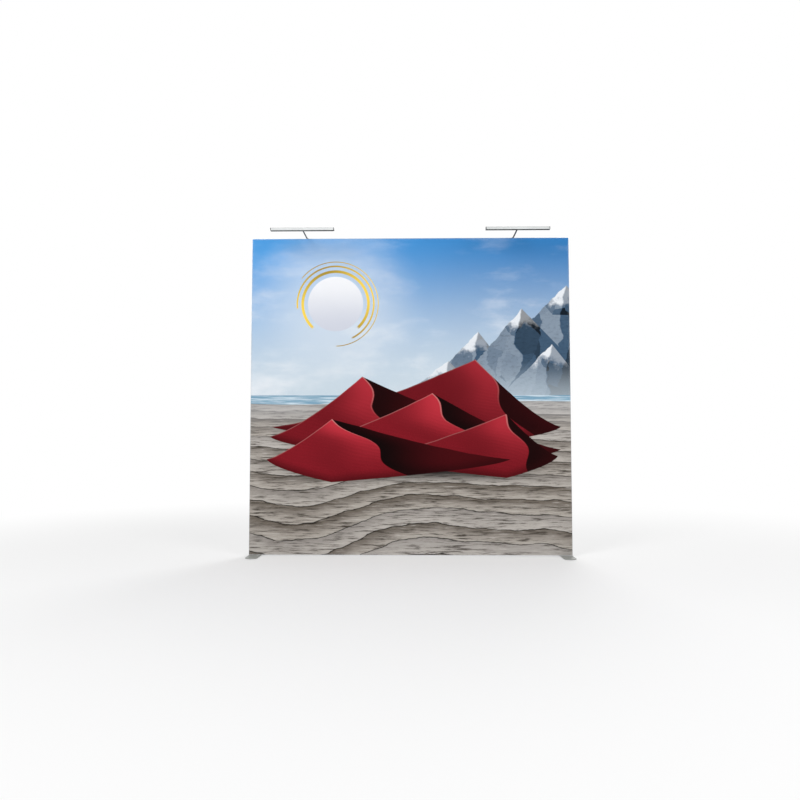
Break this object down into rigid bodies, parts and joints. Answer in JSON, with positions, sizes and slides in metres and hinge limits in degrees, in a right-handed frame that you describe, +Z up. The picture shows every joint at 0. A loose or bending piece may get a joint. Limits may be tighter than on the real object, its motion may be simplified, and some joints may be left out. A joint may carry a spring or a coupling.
{
  "type": "fabric display wall",
  "caption": "Free-standing fabric display wall: a print pushed into a take-apart rail frame with an open back, swing-out foot plates and clamp-on bar lights.",
  "frame": {"origin": "on the floor, midway between the two ends and midway between the lamps' front and the feet's rear, which is the plane of the fabric's front face", "axes": "+X to the viewer's right along the wall, +Y from the fabric's front towards the back, +Z up; the print faces -Y"},
  "size_m": [2.267, 0.432, 2.2768],
  "materials": {
    "printed_fabric": null,
    "silicone": "translucent silicone strip",
    "rail_silver": "satin anodised extrusion",
    "steel": "zinc-plated",
    "black_plastic": "fine-grained moulding",
    "foot_paint": "light grey powder coat",
    "rubber": "matt black",
    "lamp_black": "satin black paint",
    "lamp_silver": "light grey satin paint",
    "opal": "diffusing cover, unlit"
  },
  "bodies": {
    "wall": {"bead_bottom": "silicone", "bead_left": "silicone", "bead_right": "silicone", "bead_top": "silicone", "bottom_rail_left": "rail_silver", "bottom_rail_right": "rail_silver", "bottom_splice": "steel", "brace_left": "rail_silver", "brace_plate_left": "steel", "brace_plate_right": "steel", "brace_right": "rail_silver", "centre_post_lower": "rail_silver", "centre_post_upper": "rail_silver", "corner_connector_bottom_left": "steel", "corner_connector_bottom_right": "steel", "corner_connector_top_left": "steel", "corner_connector_top_right": "steel", "cross_plate": "steel", "fabric_panel": "printed_fabric", "foot_bracket_left": "black_plastic", "foot_bracket_right": "black_plastic", "left_rail_lower": "rail_silver", "left_rail_upper": "rail_silver", "left_splice": "steel", "light_clamp_left": "lamp_black", "light_clamp_right": "lamp_black", "post_plate_bottom": "steel", "post_plate_top": "steel", "right_rail_lower": "rail_silver", "right_rail_upper": "rail_silver", "right_splice": "steel", "top_rail_left": "rail_silver", "top_rail_right": "rail_silver", "top_splice": "steel"},
    "lever_top_left": {"corner_lever_top_left": "black_plastic"},
    "lever_top_right": {"corner_lever_top_right": "black_plastic"},
    "lever_bottom_left": {"corner_lever_bottom_left": "black_plastic"},
    "lever_bottom_right": {"corner_lever_bottom_right": "black_plastic"},
    "foot_left": {"foot_post_left": "steel", "foot_plate_left": "foot_paint", "foot_pad_front_left": "rubber", "foot_pad_rear_left": "rubber"},
    "foot_right": {"foot_post_right": "steel", "foot_plate_right": "foot_paint", "foot_pad_front_right": "rubber", "foot_pad_rear_right": "rubber"},
    "knob_left": {"light_knob_left": "black_plastic"},
    "nut_left": {"light_nut_left": "steel"},
    "arm_left": {"light_arm_left": "lamp_black"},
    "lamp_left": {"lamp_housing_left": "lamp_silver", "lamp_diffuser_left": "opal", "lamp_end_cap_inner_left": "black_plastic", "lamp_end_cap_outer_left": "black_plastic"},
    "knob_right": {"light_knob_right": "black_plastic"},
    "nut_right": {"light_nut_right": "steel"},
    "arm_right": {"light_arm_right": "lamp_black"},
    "lamp_right": {"lamp_housing_right": "lamp_silver", "lamp_diffuser_right": "opal", "lamp_end_cap_inner_right": "black_plastic", "lamp_end_cap_outer_right": "black_plastic"}
  },
  "joints": [
    {"name": "lever_top_left_turn", "type": "hinge", "parent": "wall", "child": "lever_top_left", "pos_m": [-1.0635, 0.0334, 2.243], "axis": [0, 1, 0], "range_deg": [0, 90]},
    {"name": "lever_top_right_turn", "type": "hinge", "parent": "wall", "child": "lever_top_right", "pos_m": [1.0635, 0.0334, 2.243], "axis": [0, -1, 0], "range_deg": [0, 90]},
    {"name": "lever_bottom_left_turn", "type": "hinge", "parent": "wall", "child": "lever_bottom_left", "pos_m": [-1.0635, 0.0334, 0.023], "axis": [0, -1, 0], "range_deg": [0, 90]},
    {"name": "lever_bottom_right_turn", "type": "hinge", "parent": "wall", "child": "lever_bottom_right", "pos_m": [1.0635, 0.0334, 0.023], "axis": [0, 1, 0], "range_deg": [0, 90]},
    {"name": "foot_left_swing", "type": "hinge", "parent": "wall", "child": "foot_left", "pos_m": [-1.1185, 0.0444, 0.04], "axis": [0, 0, 1], "range_deg": [0, 90]},
    {"name": "foot_right_swing", "type": "hinge", "parent": "wall", "child": "foot_right", "pos_m": [1.1185, 0.0444, 0.04], "axis": [0, 0, 1], "range_deg": [-90, 0]},
    {"name": "knob_left_turn", "type": "hinge", "parent": "wall", "child": "knob_left", "pos_m": [-0.74244, 0.0417, 2.243], "axis": [0, 1, 0], "range_deg": [0, 1152]},
    {"name": "nut_left_slide", "type": "slide", "parent": "wall", "child": "nut_left", "axis": [0, -1, 0], "range_m": [0, 0.004]},
    {"name": "arm_left_swing", "type": "hinge", "parent": "wall", "child": "arm_left", "pos_m": [-0.74244, 0.046, 2.2668], "axis": [0, 0, 1], "range_deg": [-30, 30]},
    {"name": "lamp_left_tilt", "type": "hinge", "parent": "arm_left", "child": "lamp_left", "pos_m": [-0.74244, -0.178, 2.2668], "axis": [1, 0, 0], "range_deg": [-45, 75]},
    {"name": "knob_right_turn", "type": "hinge", "parent": "wall", "child": "knob_right", "pos_m": [0.74244, 0.0417, 2.243], "axis": [0, 1, 0], "range_deg": [0, 1152]},
    {"name": "nut_right_slide", "type": "slide", "parent": "wall", "child": "nut_right", "axis": [0, -1, 0], "range_m": [0, 0.004]},
    {"name": "arm_right_swing", "type": "hinge", "parent": "wall", "child": "arm_right", "pos_m": [0.74244, 0.046, 2.2668], "axis": [0, 0, 1], "range_deg": [-30, 30]},
    {"name": "lamp_right_tilt", "type": "hinge", "parent": "arm_right", "child": "lamp_right", "pos_m": [0.74244, -0.178, 2.2668], "axis": [1, 0, 0], "range_deg": [-45, 75]}
  ],
  "couplings": [
    {"joint": "nut_left_slide", "follows": "knob_left_turn", "m_per_rad": 0.00019894},
    {"joint": "nut_right_slide", "follows": "knob_right_turn", "m_per_rad": 0.00019894}
  ]
}
